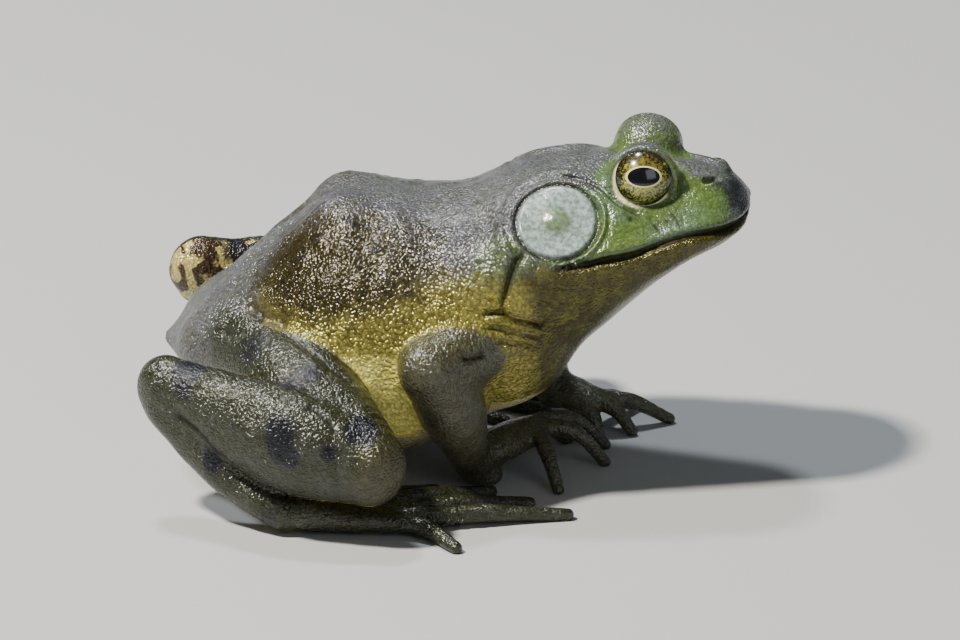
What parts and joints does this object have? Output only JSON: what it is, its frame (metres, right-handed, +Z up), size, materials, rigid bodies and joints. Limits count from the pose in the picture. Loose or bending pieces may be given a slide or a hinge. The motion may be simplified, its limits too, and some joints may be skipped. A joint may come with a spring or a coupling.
{
  "type": "bullfrog",
  "caption": "Life-size still model of a male American bullfrog, sitting alert with its head raised, as a natural history museum shows one.",
  "frame": {"origin": "on the floor, under the middle of the bounding box", "axes": "+X towards the snout, +Y towards the frog's left, +Z up"},
  "size_m": [0.1496, 0.1318, 0.0892],
  "materials": {
    "skin": "wet, finely grained frog skin, grey-olive above, green on the head, yellow below",
    "eardrum": "thin, damp, pale grey-green eardrum skin",
    "eye": "wet gloss, gold iris flecked with black round a flat oval pupil"
  },
  "bodies": {
    "root": {"head": "skin", "lower_jaw": "skin", "trunk": "skin", "eye_right": "eye", "eye_left": "eye", "tympanum_right": "eardrum", "tympanum_left": "eardrum", "upper_arm_right": "skin", "upper_arm_left": "skin", "forearm_right": "skin", "forearm_left": "skin", "hand_right": "skin", "hand_left": "skin", "thigh_right": "skin", "thigh_left": "skin", "shank_right": "skin", "shank_left": "skin", "tarsus_right": "skin", "tarsus_left": "skin", "foot_right": "skin", "foot_left": "skin"}
  },
  "joints": []
}
